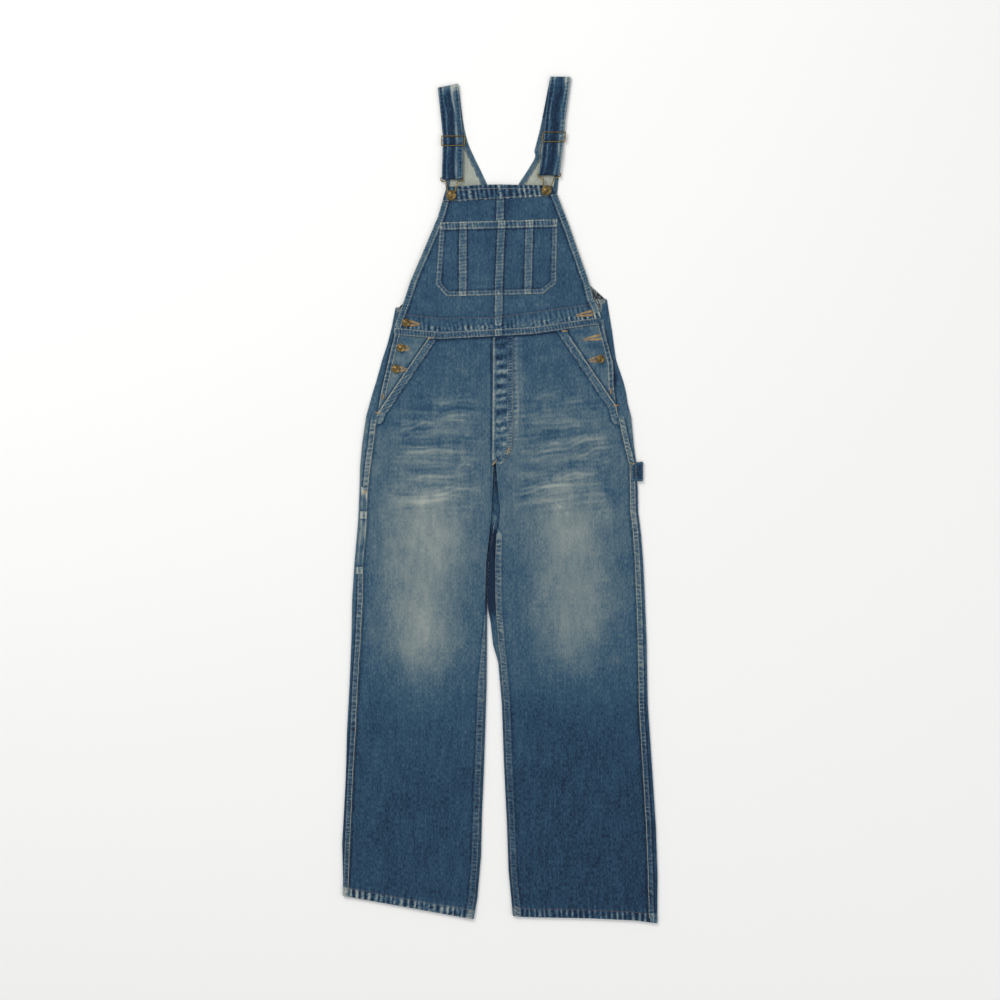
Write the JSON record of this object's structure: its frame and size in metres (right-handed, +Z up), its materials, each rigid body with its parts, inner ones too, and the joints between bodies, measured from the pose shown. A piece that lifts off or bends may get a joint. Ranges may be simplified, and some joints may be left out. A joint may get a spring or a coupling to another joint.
{
  "type": "denim bib overalls laid flat",
  "caption": "Full-length denim bib overalls laid flat, front up, with bib pocket, slant pockets, fly, side buttons, and shoulder straps on wire sliders and hooks.",
  "frame": {"origin": "centre of the bounding box's bottom face, on the plane that the garment lies on", "axes": "+Z up, away from the plane; +Y from the leg hems to the shoulder straps; +X to the wearer's left, which is the right as seen from above"},
  "size_m": [0.5519, 1.4815, 0.0125],
  "materials": {
    "denim": "washed indigo twill denim with pale fades and pale felled seams",
    "denim_inside": "pale wrong side of the denim",
    "brass": "antiqued brass wire and pressed brass buttons"
  },
  "bodies": {
    "root": {"back_bib": "denim_inside", "back_left_leg": "denim", "back_right_leg": "denim", "bib": "denim", "bib_button_left": "brass", "bib_button_right": "brass", "bib_pocket": "denim", "bib_top_band": "denim", "fly_placket": "denim", "front_left_leg": "denim", "front_right_leg": "denim", "hammer_loop": "denim", "hip_facing_left": "denim", "hip_facing_right": "denim", "hook_left": "brass", "hook_right": "brass", "side_button_left": "brass", "side_button_right_lower": "brass", "side_button_right_upper": "brass", "side_placket_left": "denim", "side_placket_right": "denim", "slider_left": "brass", "slider_right": "brass", "strap_left": "denim", "strap_right": "denim", "tool_pocket": "denim", "waist_button_right": "brass", "waist_seam": "denim"}
  },
  "joints": []
}
